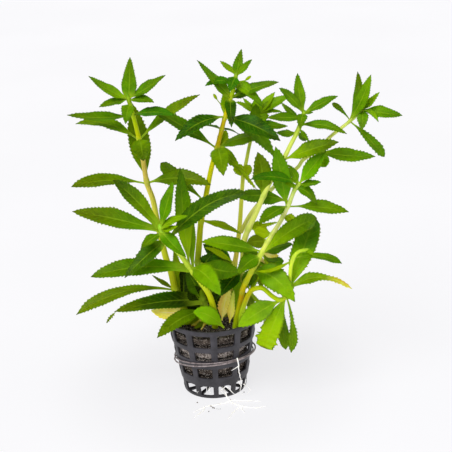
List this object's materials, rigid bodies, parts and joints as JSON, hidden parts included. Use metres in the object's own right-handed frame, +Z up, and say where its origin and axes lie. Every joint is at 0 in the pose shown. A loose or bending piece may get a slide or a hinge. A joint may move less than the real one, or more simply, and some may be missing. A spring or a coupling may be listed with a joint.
{
  "type": "potted rice paddy herb",
  "caption": "Bunch of leafy aquatic stems with lance-shaped leaves in whorls, growing from a rock wool plug in a black slatted net pot with a rubber band and white roots.",
  "frame": {"origin": "centre of the pot's flat base, on the surface that the pot stands on", "axes": "+Z up out of the pot, +X to the right and -Y towards the viewer of the front"},
  "size_m": [0.1735, 0.07, 0.1861],
  "materials": {
    "pot": "satin black moulded plastic",
    "wool": "damp fibrous rock wool with pale specks",
    "band": "thin dull elastic",
    "root": "white, smooth and damp",
    "stem": "smooth yellow-green",
    "leaf": "smooth green with a pale midrib",
    "dead_leaf": "dry tan"
  },
  "bodies": {
    "root": {"leaf_centre_1": "leaf", "leaf_centre_2": "leaf", "leaf_foot_1": "leaf", "leaf_foot_2": "leaf", "leaf_foot_3": "dead_leaf", "leaf_foot_4": "leaf", "leaf_foot_5": "dead_leaf", "leaf_foot_6": "dead_leaf", "leaf_foot_7": "leaf", "leaf_front_1": "leaf", "leaf_front_2": "leaf", "leaf_front_3": "leaf", "leaf_front_4": "leaf", "leaf_front_5": "leaf", "leaf_front_6": "leaf", "leaf_front_7": "leaf", "leaf_front_8": "leaf", "leaf_left_1": "leaf", "leaf_left_2": "leaf", "leaf_left_3": "leaf", "leaf_left_4": "leaf", "leaf_left_5": "leaf", "leaf_left_6": "leaf", "leaf_left_7": "leaf", "leaf_left_8": "leaf", "leaf_long_1": "leaf", "leaf_long_2": "leaf", "leaf_low_1": "leaf", "leaf_low_2": "leaf", "leaf_low_3": "leaf", "leaf_low_4": "leaf", "leaf_low_5": "leaf", "leaf_short_1": "leaf", "leaf_short_2": "leaf", "leaf_short_3": "leaf", "leaf_short_4": "leaf", "leaf_short_5": "leaf", "leaf_short_6": "leaf", "leaf_short_7": "leaf", "leaf_tall_1": "leaf", "leaf_tall_2": "leaf", "leaf_tall_3": "leaf", "leaf_tall_4": "leaf", "leaf_tall_5": "leaf", "leaf_tall_6": "leaf", "leaf_tall_7": "leaf", "leaf_tall_8": "leaf", "net_pot": "pot", "rock_wool": "wool", "root_side": "root", "roots_floor": "root", "rubber_band": "band", "stem_back": "stem", "stem_centre_right": "stem", "stem_front_right": "stem", "stem_left": "stem", "stem_long_right": "stem", "stem_low_right": "stem", "stem_short": "stem", "stem_tall": "stem"}
  },
  "joints": []
}
